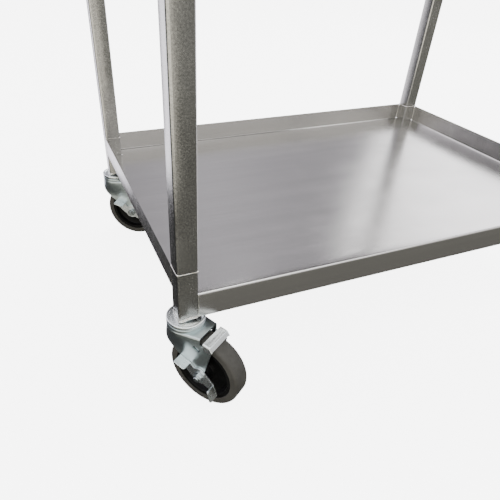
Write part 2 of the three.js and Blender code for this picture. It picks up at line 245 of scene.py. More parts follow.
def mesh_piece(name, points, unfolded=None, keep=None):
    """Makes a mesh of a grid of points (rows, columns, 3). Points that fall on each other, at
    seams and poles, are merged. unfolded gives each point's UV in metres; keep masks the cells."""
    rows, columns = points.shape[:2]
    index = np.arange(rows * columns).reshape(rows, columns)
    cells = np.stack([index[:-1, :-1], index[1:, :-1], index[1:, 1:], index[:-1, 1:]], axis=-1)
    if keep is not None:
        cells = cells[keep]
    cells = cells.reshape(-1, 4)
    mesh = bpy.data.meshes.new(name)
    mesh.from_pydata(points.reshape(-1, 3), [], cells)
    if unfolded is not None:
        layer = mesh.uv_layers.new(name="unfolded")
        layer.data.foreach_set("uv", unfolded.reshape(-1, 2)[cells.reshape(-1)].astype("f").ravel())
    work = bmesh.new()
    work.from_mesh(mesh)
    bmesh.ops.remove_doubles(work, verts=work.verts, dist=1e-6)
    loose = [v for v in work.verts if not v.link_faces]
    bmesh.ops.delete(work, geom=loose, context="VERTS")
    work.to_mesh(mesh)
    work.free()
    piece = bpy.data.objects.new(name, mesh)
    bpy.context.collection.objects.link(piece)
    return piece


floor_half = 30.0
edge = np.array([-floor_half, floor_half])
floor_points = np.stack([*np.meshgrid(edge, edge, indexing="ij"), np.zeros((2, 2))], axis=-1)
studio_floor = mesh_piece("studio_floor", floor_points)
pale = Finish(
    "studio_floor",
    Base_Color=(0.90, 0.90, 0.90),
    Roughness=0.8,
    Emission_Color=(1.0, 1.0, 1.0),
    Emission_Strength=BACKDROP,
)
studio_floor.data.materials.append(pale.material)
studio_floor.visible_glossy = False
studio_floor.visible_diffuse = False


# ---- shelf ----
# One sheet of brushed stainless. Its left, right and back edges are bent up as rims, the front
# edge is bent down and hemmed, and each corner is notched round its post, to which it is welded.
def brushed_sheet(name, tone):
    """Stainless sheet with fine lines along its first unfolded axis, faint smears and a few scratches."""
    finish = Finish(name, Metallic=1.0)
    where = finish.unfolded
    fine = finish.noise(where, (9, 2600, 1), detail=2)
    coarse = finish.noise(where, (2.5, 420, 1), detail=3)
    band = finish.noise(where, (0.9, 26, 1), detail=2)
    smear = finish.noise(where, (7, 9, 1), detail=5, roughness=0.6)
    scratch = finish.smooth(finish.noise(where, (14, 900, 1), detail=1), 0.74, 0.80)
    light, dark = tuple(c * 1.08 for c in tone), tuple(c * 0.90 for c in tone)
    grain = finish.clamp(0.5 + (fine - 0.5) * 0.6 + (coarse - 0.5) * 0.7 + (band - 0.5) * 0.6)
    finish.set(
        Base_Color=finish.mix(grain, dark, light),
        Roughness=finish.clamp(0.22 + (band - 0.5) * 0.10 + (smear - 0.5) * 0.18 + scratch * 0.04),
    )
    finish.relief(fine * 0.9 + coarse * 0.1, 0.00004, 0.6)
    return finish.material


def filleted(corners, radius, steps=6):
    """The open line through corners with each inner corner replaced by an arc that is tangent to
    both of its sides. radius is one number, or one for each inner corner."""
    corners = np.array(corners, float)
    radii = np.broadcast_to(radius, len(corners) - 2)
    line = [corners[:1]]
    for before, corner, after, r in zip(corners, corners[1:], corners[2:], radii):
        to_before = (before - corner) / np.linalg.norm(before - corner)
        to_after = (after - corner) / np.linalg.norm(after - corner)
        half = math.acos(np.clip(to_before @ to_after, -1, 1)) / 2
        if r == 0 or half > math.radians(89.5):
            line.append(corner[None])
            continue
        inward = (to_before + to_after) / np.linalg.norm(to_before + to_after)
        centre = corner + inward * r / math.sin(half)
        start = corner + to_before * r / math.tan(half) - centre
        stop = corner + to_after * r / math.tan(half) - centre
        turn = math.copysign(math.pi - 2 * half, start[0] * stop[1] - start[1] * stop[0])
        angle = math.atan2(start[1], start[0]) + np.linspace(0, turn, steps + 1)
        line.append(centre + r * np.stack([np.cos(angle), np.sin(angle)], axis=-1))
    line.append(corners[-1:])
    return np.concatenate(line)


def divided(line, spacing):
    """The same line with points added so that none of its sides is longer than spacing."""
    parts = [line[:1]]
    for a, b in zip(line, line[1:]):
        count = max(1, math.ceil(np.linalg.norm(b - a) / spacing - 1e-6))
        parts.append(a + (b - a) * np.linspace(0, 1, count + 1)[1:, None])
    return np.concatenate(parts)


def run_length(line):
    """The distance along a line of points, from its first point."""
    return np.concatenate([[0], np.cumsum(np.linalg.norm(np.diff(line, axis=0), axis=-1))])


def settled(piece, sharp=35):
    """Applies the modifiers, shades smooth and keeps edges sharper than that many degrees crisp."""
    graph = bpy.context.evaluated_depsgraph_get()
    mesh = bpy.data.meshes.new_from_object(piece.evaluated_get(graph))
    piece.modifiers.clear()
    piece.data = mesh
    mesh.polygons.foreach_set("use_smooth", np.ones(len(mesh.polygons), bool))
    mesh.set_sharp_from_angle(angle=math.radians(sharp))
    return piece


def thickened(piece, thickness, offset=-1.0):
    """Gives a sheet its thickness, behind the side that its faces point to."""
    solid = piece.modifiers.new("thickness", "SOLIDIFY")
    solid.thickness = thickness
    solid.offset = offset
    solid.use_even_offset = True
    return settled(piece)


def fitted(piece, body, slot, material, *nodes):
    """The piece rides on a body, stands for those CAD nodes and takes that material; slot is not used."""
    if material.name not in [m.name for m in piece.data.materials if m]:
        piece.data.materials.append(material)
    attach(piece, body)
    if nodes:
        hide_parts(*nodes)
    return piece


SHEET = 1.5 * MM
BEND = 2.2 * MM  # inside radius of a bend
GAP = 0.3 * MM  # left between neighbouring pieces
CELL = 22 * MM  # step of a sheet's mesh
shelf_low, shelf_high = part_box("shelf")
post_low, post_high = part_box("corner_post_front_left")
tube = post_high.x - post_low.x
shelf_floor = [m for m in frame["record"]["mounts"] if m["name"] == "shelf_floor"][0]["pos_m"][2]
hem = 12 * MM
notch_x = shelf_high.x - tube - GAP
notch_y = shelf_high.y - tube - GAP

across = filleted(
    [
        (shelf_low.x + SHEET, shelf_high.z),
        (shelf_low.x + SHEET, shelf_floor),
        (-notch_x, shelf_floor),
        (notch_x, shelf_floor),
        (shelf_high.x - SHEET, shelf_floor),
        (shelf_high.x - SHEET, shelf_high.z),
    ],
    [BEND, 0, 0, BEND],
)
across = divided(across, CELL)
along = filleted(
    [
        (shelf_low.y + hem, shelf_low.z),
        (shelf_low.y, shelf_low.z),
        (shelf_low.y, shelf_floor),
        (-notch_y, shelf_floor),
        (notch_y, shelf_floor),
        (shelf_high.y - SHEET, shelf_floor),
        (shelf_high.y - SHEET, shelf_high.z),
    ],
    [BEND + SHEET, BEND + SHEET, 0, 0, BEND],
)
along = divided(along, CELL)


def sheet_grid(across, along, level):
    """Two bent lines crossed: x and height from one, y and height from the other, over a floor at
    that level. The floor rises and falls by a fifth of a millimetre, as thin sheet does."""
    x, y = np.meshgrid(across[:, 0], along[:, 0], indexing="ij")
    rise = (across[:, 1] - level)[:, None] + (along[:, 1] - level)[None]
    inside = np.clip((1 - (x / notch_x) ** 2) * (1 - (y / notch_y) ** 2), 0, None)
    waves = np.sin(9 * x + 4 * y) + 0.7 * np.sin(17 * y - 6 * x + 1.3) + 0.5 * np.sin(23 * x + 11 * y)
    sag = 0.2 * MM * inside * waves
    points = np.stack([x, y, level + rise + sag], axis=-1)
    u, v = np.meshgrid(run_length(across), run_length(along), indexing="ij")
    return points, np.stack([u, v], axis=-1)


points, unfolded = sheet_grid(across, along, shelf_floor)
middle = (points[:-1, :-1] + points[1:, 1:]) / 2
keep = (np.abs(middle[..., 0]) < notch_x) | (np.abs(middle[..., 1]) < notch_y)
shelf = mesh_piece("shelf_sheet", points, unfolded, keep)
thickened(shelf, SHEET)
STAINLESS = (0.62, 0.61, 0.595)
sheet_steel = brushed_sheet("brushed_stainless", STAINLESS)
fitted(shelf, "frame", "brushed_steel", sheet_steel, "shelf")


# ---- stiffeners ----
# Hat-section channels of the same sheet, spot-welded under the shelf and under the worktop.
HAT_FLANGE = 16 * MM
CHANNEL_CELL = 50 * MM


def hat_channel(name, node):
    """The CAD channel's section, with bent corners, drawn from its box and run along X."""
    low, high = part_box(node)
    web = low.y + HAT_FLANGE
    right = filleted(
        [(low.y, high.z), (web, high.z), (web, low.z), (-web, low.z), (-web, high.z), (high.y, high.z)],
        [BEND, BEND, BEND, BEND],
        steps=4,
    )
    run = divided(np.array([[low.x, 0.0], [high.x, 0.0]]), CHANNEL_CELL)[:, 0]
    x, y = np.meshgrid(run, right[:, 0], indexing="ij")
    z = np.broadcast_to(right[:, 1], x.shape)
    u, v = np.meshgrid(run, run_length(right), indexing="ij")
    piece = mesh_piece(name, np.stack([x, y, z], axis=-1), np.stack([u, v], axis=-1))
    thickened(piece, SHEET)
    return fitted(piece, "frame", "brushed_steel", sheet_steel, node)


hat_channel("shelf_channel", "shelf_stiffener")
hat_channel("worktop_channel", "worktop_stiffener")


# ---- worktop ----
# A pan of brushed stainless: flat top, edges bent down, corners welded and ground round, and a
# hem folded inwards all the way round its lower edge.
def loop_sweep(length, depth, radius, profile, steps=6):
    """Carries a profile of (inset, height) points round a rectangle with rounded corners: at inset
    d the rectangle is smaller by d on each side and its corners' radius is smaller by d."""
    quarter = np.linspace(0, math.pi / 2, steps + 1)
    angle = (quarter[None] + np.arange(4)[:, None] * math.pi / 2).ravel()
    middle = np.repeat(np.arange(4) * math.pi / 2 + math.pi / 4, steps + 1)
    side = np.stack([np.sign(np.cos(middle)), np.sign(np.sin(middle))], axis=-1)
    angle, side = np.append(angle, angle[0]), np.concatenate([side, side[:1]])
    inset, height = np.asarray(profile, float).T
    corner = np.clip(radius - inset, 0, None)
    reach = np.stack([length / 2 - inset - corner, depth / 2 - inset - corner], axis=-1)
    reach = np.clip(reach, 0, None)
    outward = np.stack([np.cos(angle), np.sin(angle)], axis=-1)
    flat = reach[:, None] * side[None] + corner[:, None, None] * outward[None]
    return np.concatenate([flat, np.broadcast_to(height[:, None, None], (*flat.shape[:2], 1))], axis=-1)


top_low, top_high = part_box("worktop")
top_length, top_depth = top_high.x - top_low.x, top_high.y - top_low.y
skin = filleted(
    [
        (top_depth / 2, top_high.z),
        (30 * MM, top_high.z),
        (0, top_high.z),
        (0, top_low.z),
        (hem, top_low.z),
        (hem, top_low.z + SHEET),
        (SHEET, top_low.z + SHEET),
        (SHEET, top_high.z - SHEET),
        (top_depth / 2, top_high.z - SHEET),
    ],
    [0, 4 * MM, 3 * MM, 0, 0, 1.5 * MM, 2.5 * MM],
)
points = loop_sweep(top_length, top_depth, 5 * MM, skin)
worktop = mesh_piece("worktop_sheet", points, points[..., :2] + points[..., 2:] * (0, 1))
settled(worktop)
fitted(worktop, "frame", "brushed_steel", sheet_steel, "worktop")


# ---- legs, corner posts and rails ----
# Square stainless tube, sawn square and welded. The mill finish is a fine mottled grain.
def mill_tube_finish(name, tone):
    """Tube steel: close-set grain along the tube, a speckle of small pits and cloudy patches."""
    finish = Finish(name, Metallic=1.0)
    grain = finish.noise(finish.unfolded, (900, 40, 1), detail=3)
    speckle = finish.noise(finish.place, (400, 400, 400), detail=4, roughness=0.65)
    cloud = finish.noise(finish.place, (26, 26, 18), detail=4)
    mottle = finish.clamp(0.5 + (speckle - 0.5) * 2.2 + (cloud - 0.5) * 0.9 + (grain - 0.5) * 0.5)
    light, dark = tuple(c * 1.28 for c in tone), tuple(c * 0.72 for c in tone)
    finish.set(
        Base_Color=finish.mix(mottle, dark, light),
        Roughness=finish.clamp(0.22 + (speckle - 0.5) * 0.25 + (cloud - 0.5) * 0.12),
    )
    finish.relief(speckle * 0.7 + grain * 0.3, 0.00008, 0.6)
    return finish.material


TUBE_CORNER = 4 * MM
TUBE_WALL = 1.5 * MM
tube_steel = mill_tube_finish("mill_stainless_tube", (0.43, 0.428, 0.41))


def square_tube(name, node, axis):
    """The CAD tube with truly round corners: its section's loop carried along its long side."""
    low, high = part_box(node)
    length = (high - low)[axis]
    ease = 0.3 * MM
    profile = [
        (ease, 0), (0, ease), (0, length - ease), (ease, length), (TUBE_WALL, length), (TUBE_WALL, 0),
        (ease, 0),
    ]
    points = loop_sweep(tube, tube, TUBE_CORNER, profile, steps=5)
    girth = run_length(points[1, :, :2])
    u, v = np.meshgrid(np.array([p[1] for p in profile]), girth, indexing="ij")
    unfolded = np.stack([v, u], axis=-1)
    centre = (low + high) / 2
    order = {0: (2, 0, 1), 1: (1, 2, 0), 2: (0, 1, 2)}[axis]
    points = points[..., order]
    place = np.array(centre)
    place[axis] = low[axis]
    piece = mesh_piece(name, points + place, unfolded)
    settled(piece)
    return fitted(piece, "frame", "tube_steel", tube_steel, node)


CORNERS = ("front_left", "back_left", "front_right", "back_right")
for corner in CORNERS:
    square_tube("leg_tube_" + corner, "leg_" + corner, 2)
    square_tube("post_tube_" + corner, "corner_post_" + corner, 2)
for side in ("front", "back"):
    square_tube("rail_tube_" + side, "top_rail_" + side, 0)
for side in ("left", "right"):
    square_tube("rail_tube_" + side, "top_rail_" + side, 1)


# ---- welds ----
# Each upper leg is butt-welded to its corner post, and the post's foot to the threaded insert. The
# beads are small overlapping ripples, left bright, with a thicker stop at each corner of a face.
def weld_finish():
    """The weld beads' bare metal."""
    finish = Finish("weld_metal", Metallic=1.0)
    tarnish = finish.noise(finish.place, (260, 260, 260), detail=3)
    finish.set(
        Base_Color=finish.mix(finish.smooth(tarnish, 0.35, 0.7), (0.86, 0.85, 0.82), (0.62, 0.58, 0.50)),
        Roughness=finish.clamp(0.16 + (tarnish - 0.5) * 0.2),
    )
    return finish.material


def bead(name, path, outward, radius, spread=1.0, ripple=1.7 * MM, closed=True, lumps=0.0):
    """A bead along a path: a circle round each point, in the plane of the outward direction and the
    bead's side direction. Its radius rises and falls once in each ripple, and grows at the lumps."""
    distance = run_length(path)
    ahead = np.gradient(path, axis=0)
    if closed:
        ahead[0] = ahead[-1] = path[1] - path[-2]
    ahead /= np.linalg.norm(ahead, axis=-1, keepdims=True)
    sideways = np.cross(ahead, outward)
    swell = 0.86 + 0.14 * np.abs(np.sin(math.pi * distance / ripple))
    swell = swell + 0.10 * np.sin(distance * 310.0) * np.sin(distance * 127.0)
    swell = swell * (1 + lumps)
    around = np.linspace(0, 2 * math.pi, 11)
    size = radius * swell[:, None, None]
    out_part = np.cos(around)[None, :, None] * outward[:, None]
    side_part = np.sin(around)[None, :, None] * sideways[:, None] * spread
    piece = mesh_piece(name, path[:, None] + size * (out_part + side_part))
    mend = bmesh.new()
    mend.from_mesh(piece.data)
    bmesh.ops.holes_fill(mend, edges=mend.edges)
    bmesh.ops.recalc_face_normals(mend, faces=mend.faces)
    mend.to_mesh(piece.data)
    mend.free()
    return settled(piece, 80)


weld_metal = weld_finish()
seam = loop_sweep(tube, tube, TUBE_CORNER, [(0.3 * MM, 0)], steps=5)[0]
seam_out = loop_sweep(tube, tube, TUBE_CORNER, [(0.0, 0)], steps=5)[0] - loop_sweep(
    tube, tube, TUBE_CORNER, [(1 * MM, 0)], steps=5
)[0]


def around_tube(x, y, z):
    """The weld's path round a tube at that height, with points 0.4 mm apart, its outward side, and
    the lumps where it stopped and started again, at the tube's corners."""
    path = divided(seam, 0.4 * MM)
    steps = run_length(seam)
    out = np.stack([np.interp(run_length(path), steps, seam_out[:, k]) for k in range(3)], axis=-1)
    out /= np.linalg.norm(out, axis=-1, keepdims=True)
    beside = np.sort(np.abs(path[:, :2]), axis=-1)
    lumps = np.clip((beside[:, 0] / beside[:, 1] - 0.82) / 0.1, 0, 1)
    return path + (x, y, z), out, lumps


for corner in CORNERS:
    low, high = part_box("corner_post_" + corner)
    middle = (low + high) / 2
    path, out, lumps = around_tube(middle.x, middle.y, high.z + 0.15 * MM)
    seam_weld = bead("seam_weld_" + corner, path, out, 0.75 * MM, 1.1, lumps=1.1 * lumps)
    fitted(seam_weld, "frame", "tube_steel", weld_metal)
    path, out, lumps = around_tube(middle.x, middle.y, low.z)
    lift = np.interp(path[:, 0] - middle.x, [-9 * MM, 2 * MM, 11 * MM], [0, 2.6 * MM, 2.2 * MM])
    path = path - out * 0.5 * MM + lift[:, None] * (0, 0, 1)
    fitted(bead("foot_weld_" + corner, path, out, 1.7 * MM, 1.5), "frame", "tube_steel", weld_metal)

# Short fillets tie the ends of the shelf's rims, and of its turned-down front, to the posts.
for corner in CORNERS:
    low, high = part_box("corner_post_" + corner)
    side = 1 if low.x > 0 else -1
    end = 1 if low.y > 0 else -1
    edge_x = low.x if side > 0 else high.x
    edge_y = low.y if end > 0 else high.y
    fillets = {"rim": (side * (shelf_high.x - SHEET), edge_y, shelf_floor + 3 * MM, high.z - 3 * MM)}
    if end > 0:
        fillets["back"] = (edge_x, shelf_high.y - SHEET, shelf_floor + 3 * MM, high.z - 3 * MM)
    else:
        fillets["front"] = (edge_x, low.y + 1.3 * MM, low.z + 2 * MM, shelf_floor - 2 * MM)
    for kind, (x, y, start, stop) in fillets.items():
        path = divided(np.array([[x, y, start], [x, y, stop]]), 0.5 * MM)
        out = np.broadcast_to(np.array([-side, -end, 0]) / math.sqrt(2), path.shape)
        fillet = bead(kind + "_weld_" + corner, path, out, 1.1 * MM, closed=False)
        fitted(fillet, "frame", "brushed_steel", weld_metal)


# ---- casters ----
# Four swivel casters with a side brake, alike but turned each its own way. Each piece is made once
# about the swivel axis, with its wheel trailing towards +X, and set in place at each corner.
joints = {j["name"]: j for j in frame["joints"]}
hub_place = Vector(joints["wheel_front_left"]["pos_m"])
stem_place = Vector(joints["swivel_front_left"]["pos_m"])
TRAIL = (hub_place.xy - stem_place.xy).length
AXLE = hub_place.z
WHEEL = AXLE  # the wheel's radius, as it stands on the floor
ON_AXLE = (TRAIL, 0, AXLE)


def on_casters(name, piece, body, slot, material, node=None):
    """Copies a finished piece to the four casters and removes the first one."""
    piece.data.materials.clear()
    piece.data.materials.append(material)
    for corner in CORNERS:
        swivel, wheel = joints["swivel_" + corner], joints["wheel_" + corner]
        azimuth = math.atan2(-wheel["axis"][0], wheel["axis"][1])
        mesh = piece.data.copy()
        stand = Matrix.Translation((swivel["pos_m"][0], swivel["pos_m"][1], 0))
        mesh.transform(stand @ Matrix.Rotation(azimuth, 4, "Z"))
        copy = bpy.data.objects.new(f"{name}_{corner}", mesh)
        bpy.context.collection.objects.link(copy)
        riding = "frame" if body == "frame" else f"{body}_{corner}"
        fitted(copy, riding, slot, material, *([f"{node}_{corner}"] if node else []))
    bpy.data.objects.remove(piece)


def plated_finish(name, tone, roughness):
    """Bright zinc: bluish, faintly cloudy, and softly waved by the press."""
    finish = Finish(name, Metallic=1.0)
    cloud = finish.noise(finish.place, (60, 60, 60), detail=4)
    crystal = finish.noise(finish.place, (900, 900, 900), detail=2)
    wave = finish.noise(finish.place, (38, 38, 38), detail=1)
    light, dark = tuple(c * 1.08 for c in tone), tuple(c * 0.84 for c in tone)
    finish.set(
        Base_Color=finish.mix(finish.clamp(0.5 + (cloud - 0.5) * 1.6), dark, light),
        Roughness=finish.clamp(roughness + (cloud - 0.5) * 0.14 + (crystal - 0.5) * 0.08),
    )
    finish.relief(wave * 0.9 + crystal * 0.1, 0.0006, 0.35)
    return finish.material


zinc = plated_finish("bright_zinc", (0.84, 0.89, 0.90), 0.27)
plain_steel = plated_finish("plain_steel", (0.36, 0.36, 0.36), 0.35)
for corner in CORNERS:
    for node in ("stem_insert_", "bearing_balls_", "axle_sleeve_"):
        cad_piece = frame["nodes"][node + corner]
        cad_piece.data.materials.clear()
        cad_piece.data.materials.append(plain_steel)


# ---- swivel heads ----
# A dished upper raceway with a rolled rim, staked to the threaded stem. Its hexagon collar is
# screwed up against the post's foot, and the kingpin's end is riveted over under the crown.
def turned(outline, sides, about="Z"):
    """A closed outline of (radius, height) points turned about an axis: x = r cos a, y = r sin a."""
    angle = np.linspace(0, 2 * math.pi, sides + 1)
    r, h = np.asarray(outline, float).T
    x, y = r[:, None] * np.cos(angle), r[:, None] * np.sin(angle)
    z = np.broadcast_to(h[:, None], x.shape)
    order = {"Z": (x, y, z), "Y": (y, z, x)}[about]
    return np.stack(order, axis=-1)


def outside_in(piece):
    """Turns all faces of a closed mesh outwards."""
    mend = bmesh.new()
    mend.from_mesh(piece.data)
    bmesh.ops.recalc_face_normals(mend, faces=mend.faces)
    mend.to_mesh(piece.data)
    mend.free()
    return piece


def joined(name, *pieces):
    """One object from several, each a closed shell of its own."""
    work = bmesh.new()
    for piece in pieces:
        work.from_mesh(piece.data)
        bpy.data.objects.remove(piece)
    mesh = bpy.data.meshes.new(name)
    work.to_mesh(mesh)
    work.free()
    made = bpy.data.objects.new(name, mesh)
    bpy.context.collection.objects.link(made)
    return made


head_low, head_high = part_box("swivel_head_front_left")
RACE = (head_high.x - head_low.x) / 2
foot = shelf_low.z
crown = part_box("fork_front_left")[1].z - 5 * MM
race_low = crown + 5.6 * MM
race_high = race_low + 5.7 * MM
inside = race_low + 1.6 * MM
face = race_low + 4 * MM
dish = filleted(
    [
        (0, crown - 8 * MM),
        (9 * MM, crown - 8 * MM),
        (9 * MM, crown - 3.3 * MM),
        (6 * MM, crown - 3.3 * MM),
        (6 * MM, inside),
        (RACE - 3 * MM, inside),
        (RACE - 3 * MM, race_low),
        (RACE, race_low),
        (RACE, race_high),
        (RACE - 3.2 * MM, race_high),
        (RACE - 5.4 * MM, face - 0.6 * MM),
        (RACE - 11 * MM, face),
        (5 * MM, face),
        (5 * MM, foot + 24 * MM),
        (0, foot + 24 * MM),
    ],
    np.array([2.2, 0.4, 0.0, 0.8, 0.4, 0.8, 2.2, 1.4, 1.4, 1.6, 0.0, 0.6, 0.0]) * MM,
    steps=5,
)
head = outside_in(mesh_piece("head_dish", turned(dish, 72)))
settled(head, 50)
hexagon = filleted(
    [
        (5 * MM, face - 0.5 * MM),
        (12.4 * MM, face - 0.5 * MM),
        (12.4 * MM, foot - 0.3 * MM),
        (5 * MM, foot - 0.3 * MM),
        (5 * MM, face - 0.5 * MM),
    ],
    np.array([1.0, 1.0, 0.0]) * MM,
    steps=3,
)
collar = settled(outside_in(mesh_piece("head_collar", turned(hexagon, 6))), 25)
head = joined("swivel_head_pressing", head, collar)
on_casters("head_pressing", head, "frame", "zinc_plate", zinc, "swivel_head")


# ---- forks ----
# Drawn from one plate: a round crown with the lower raceway on it, and two legs that start as a
# cone under the raceway and flatten as they narrow to the axle.
FORK = 22.5 * MM  # half the width over the legs
PLATE = 2.5 * MM
CUTTER = 80 * MM  # long enough to pass through both legs
BOSS = 12 * MM  # radius of a leg's foot round the axle
AXLE_BORE = 4.3 * MM
CROWN_BEND = 3 * MM
CROWN_END = TRAIL - 0.5 * MM  # the crown's straight trailing edge


def leg_edges(height):
    """Leading and trailing edge of a fork leg at heights above the axle, measured from the axle. The
    leading edge is a half circle round the axle, then a power curve that leans forward to the crown.
    The trailing edge widens steadily, rounds a shoulder and steps back to the crown's end."""
    top = crown - AXLE
    neck, neck_front = 7.7 * MM, -9.2 * MM  # where the foot's circle meets the leading curve
    sweep, bow = 60.5 * MM, 2.4  # how far forward that curve leans, and its power
    shoulder_low, shoulder_rise = 52 * MM, 10 * MM
    rise = np.clip((height - neck) / (top - neck), 0, 1)
    circle = np.sqrt(np.clip(BOSS**2 - height**2, 0, None))
    leading = np.where(height < neck, -circle, neck_front - sweep * (1 - (1 - rise) ** bow))
    slope = 11 * MM + 9 * MM * np.clip((height - 22 * MM) / (35 * MM), -0.6, 1)
    side = np.where(height < 6 * MM, np.maximum(circle, slope), slope)
    shoulder = np.clip((height - shoulder_low) / shoulder_rise, 0, 1)
    step = CROWN_END - TRAIL
    trailing = step + (side - step) * np.sqrt(1 - shoulder**2)
    return leading, np.where(height < 0, circle, trailing)


def fork_points(stations=64):
    """Rows run from the leading to the trailing edge, columns from the foot of one leg over the
    crown to the foot of the other. A leg's distance from the middle grows from the flat plate to
    the raceway's circle as it nears the crown."""
    top = crown - AXLE
    low = -BOSS * np.cos(np.linspace(0, math.pi / 2, 16))
    height = np.concatenate([low, np.linspace(0, top - CROWN_BEND, 66)[1:]])
    leading, trailing = leg_edges(height)
    share = np.linspace(0, 1, stations)[:, None]
    x = leading + (trailing - leading) * share + TRAIL
    flat_to = 34 * MM  # above the axle, the leg is flat this far up
    blend = np.clip((height - flat_to) / (top - CROWN_BEND - flat_to), 0, 1)
    blend = blend * blend * (3 - 2 * blend)

    def top_half_width(at):
        """The raceway's circle as far as its widest point, then a line that closes to the legs."""
        circle = np.sqrt(np.clip((RACE - 0.4 * MM) ** 2 - at**2, 0, None))
        chord = np.interp(at, [6 * MM, CROWN_END], [RACE - 1 * MM, FORK])
        return np.where(at < 6 * MM, circle, chord)

    y = FORK + blend * (top_half_width(x) - FORK)
    leg = np.stack([x, -y, np.broadcast_to(height + AXLE, x.shape)], axis=-1)
    lead_top, trail_top = leg_edges(np.array([top]))
    x_top = lead_top + (trail_top - lead_top) * share + TRAIL
    y_top = top_half_width(x_top)
    bend = np.linspace(0, math.pi / 2, 6)[None, 1:]
    corner = np.stack(
        np.broadcast_arrays(
            x_top,
            -(y_top - CROWN_BEND * (1 - np.cos(bend))),
            crown - CROWN_BEND + CROWN_BEND * np.sin(bend),
        ),
        axis=-1,
    )
    flat = np.linspace(-1, 0, 9)[None, 1:]
    plate = np.stack(np.broadcast_arrays(x_top, flat * (y_top - CROWN_BEND), crown), axis=-1)
    near = np.concatenate([leg, corner, plate], axis=1)
    far = near[:, -2::-1] * (1, -1, 1)
    return np.concatenate([near, far], axis=1)


def bored(piece, *tools):
    """Cuts the tools out of the piece and removes them."""
    for tool in tools:
        cut = piece.modifiers.new("cut", "BOOLEAN")
        cut.object = tool
        cut.operation = "DIFFERENCE"
        cut.solver = "EXACT"
    settled(piece)
    for tool in tools:
        bpy.data.objects.remove(tool)
    return piece


def rod(name, radius, start, stop, sides=32):
    """A plain closed cylinder along Y at the axle, as a cutter or a shank."""
    outline = [(0, start), (radius, start), (radius, stop), (0, stop)]
    piece = mesh_piece(name, turned(outline, sides, "Y") + ON_AXLE)
    return outside_in(piece)


def rounded_slot(name, length, width, lean, place):
    """A cutter through both legs: a rectangle with round ends, leaning, carried along Y."""
    angle = np.linspace(0, 2 * math.pi, 33)
    ends = np.sign(np.cos(angle)) * (length - width) / 2
    x, z = width / 2 * np.cos(angle) + ends, width / 2 * np.sin(angle)
    across = np.array([[0.0], [0.0], [1.0], [1.0]])
    grow = np.array([[0.0], [1.0], [1.0], [0.0]])
    turned_x = (x * math.cos(lean) + z * math.sin(lean)) * grow + place[0]
    turned_z = (z * math.cos(lean) - x * math.sin(lean)) * grow + place[1]
    y = np.broadcast_to((across - 0.5) * CUTTER, turned_x.shape)
    return outside_in(mesh_piece(name, np.stack([turned_x, y, turned_z], axis=-1)))


fork = mesh_piece("fork_plate", fork_points())
thickened(fork, PLATE)
SLOT_PLACE = (TRAIL - 6.5 * MM, AXLE + 53.5 * MM)
SLOT_LEAN = math.radians(29)
fork = bored(
    fork,
    rod("axle_cutter", AXLE_BORE, -30 * MM, 30 * MM),
    rounded_slot("slot_cutter", 13 * MM, 6.5 * MM, SLOT_LEAN, SLOT_PLACE),
)
race = filleted(
    [
        (RACE - 3.5 * MM, crown - 0.5 * MM),
        (RACE - 0.3 * MM, crown - 0.5 * MM),
        (RACE - 0.3 * MM, crown + 5 * MM),
        (RACE - 3.5 * MM, crown + 5 * MM),
        (RACE - 3.5 * MM, crown - 0.5 * MM),
    ],
    np.array([0.3, 1.5, 0.8]) * MM,
)
race = settled(outside_in(mesh_piece("fork_race", turned(race, 72))), 50)


def tongue(name, side):
    """The strip lanced out of the slot: a plate of a few points that runs down and inwards from the
    slot's upper edge, curling as a quarter circle."""
    bend = np.linspace(0, math.pi / 2, 7)[:, None]
    along = np.linspace(-4.2 * MM, 4.2 * MM, 5)[None]
    down = 4.6 * MM * np.sin(bend) - 2.6 * MM
    depth = 0.6 * MM + 3.2 * MM * (1 - np.cos(bend))
    x = SLOT_PLACE[0] + along * math.cos(SLOT_LEAN) - down * math.sin(SLOT_LEAN)
    z = SLOT_PLACE[1] - along * math.sin(SLOT_LEAN) - down * math.cos(SLOT_LEAN)
    y = np.broadcast_to(side * (FORK - depth), x.shape)
    return thickened(mesh_piece(name, np.stack([x, y, z], axis=-1)), 1.0 * MM, offset=0.0)


fork = joined("fork_pressing", fork, race, tongue("near_tongue", -1), tongue("far_tongue", 1))
# A darker copy of the bright zinc for the forks: its lower tone is painted shade, not a different plating.
fork_zinc = plated_finish("fork_zinc", (0.50, 0.57, 0.575), 0.33)
on_casters("fork_pressing", fork, "swivel", "zinc_plate", fork_zinc, "fork")


# ---- axles ----
# A hexagon-head bolt from the far side, through both legs and the sleeve, with a flanged nut.
def hexagon_nut(name, radius, near, far):
    """A hexagon prism along Y. Its near end is chamfered if near < far, and dished if near > far."""
    ease = 1.0 * MM
    outline = [(0, near), (radius - ease, near), (radius, near + ease), (radius, far), (0, far)]
    piece = mesh_piece(name, turned(outline, 6, "Y") + ON_AXLE)
    return settled(outside_in(piece), 20)


def threaded_end(name, radius, near, far, pitch=1.25 * MM):
    """A rod along Y whose radius follows a saw tooth that climbs one pitch in each turn."""
    steps = max(8, round((far - near) / pitch * 8))
    y = np.linspace(near, far, steps)
    angle = np.linspace(0, 2 * math.pi, 25)
    phase = (y[:, None] / pitch + angle[None] / (2 * math.pi)) % 1
    r = radius - 0.7 * MM * np.abs(phase - 0.5)
    y = np.broadcast_to(y[:, None], r.shape)
    body = np.stack([r * np.sin(angle), y, r * np.cos(angle)], axis=-1)
    caps = [np.broadcast_to([[0.0, end, 0.0]], (1, 25, 3)) for end in (near, far)]
    points = np.concatenate([caps[0], body, caps[1]])
    return settled(outside_in(mesh_piece(name, points + ON_AXLE)), 60)


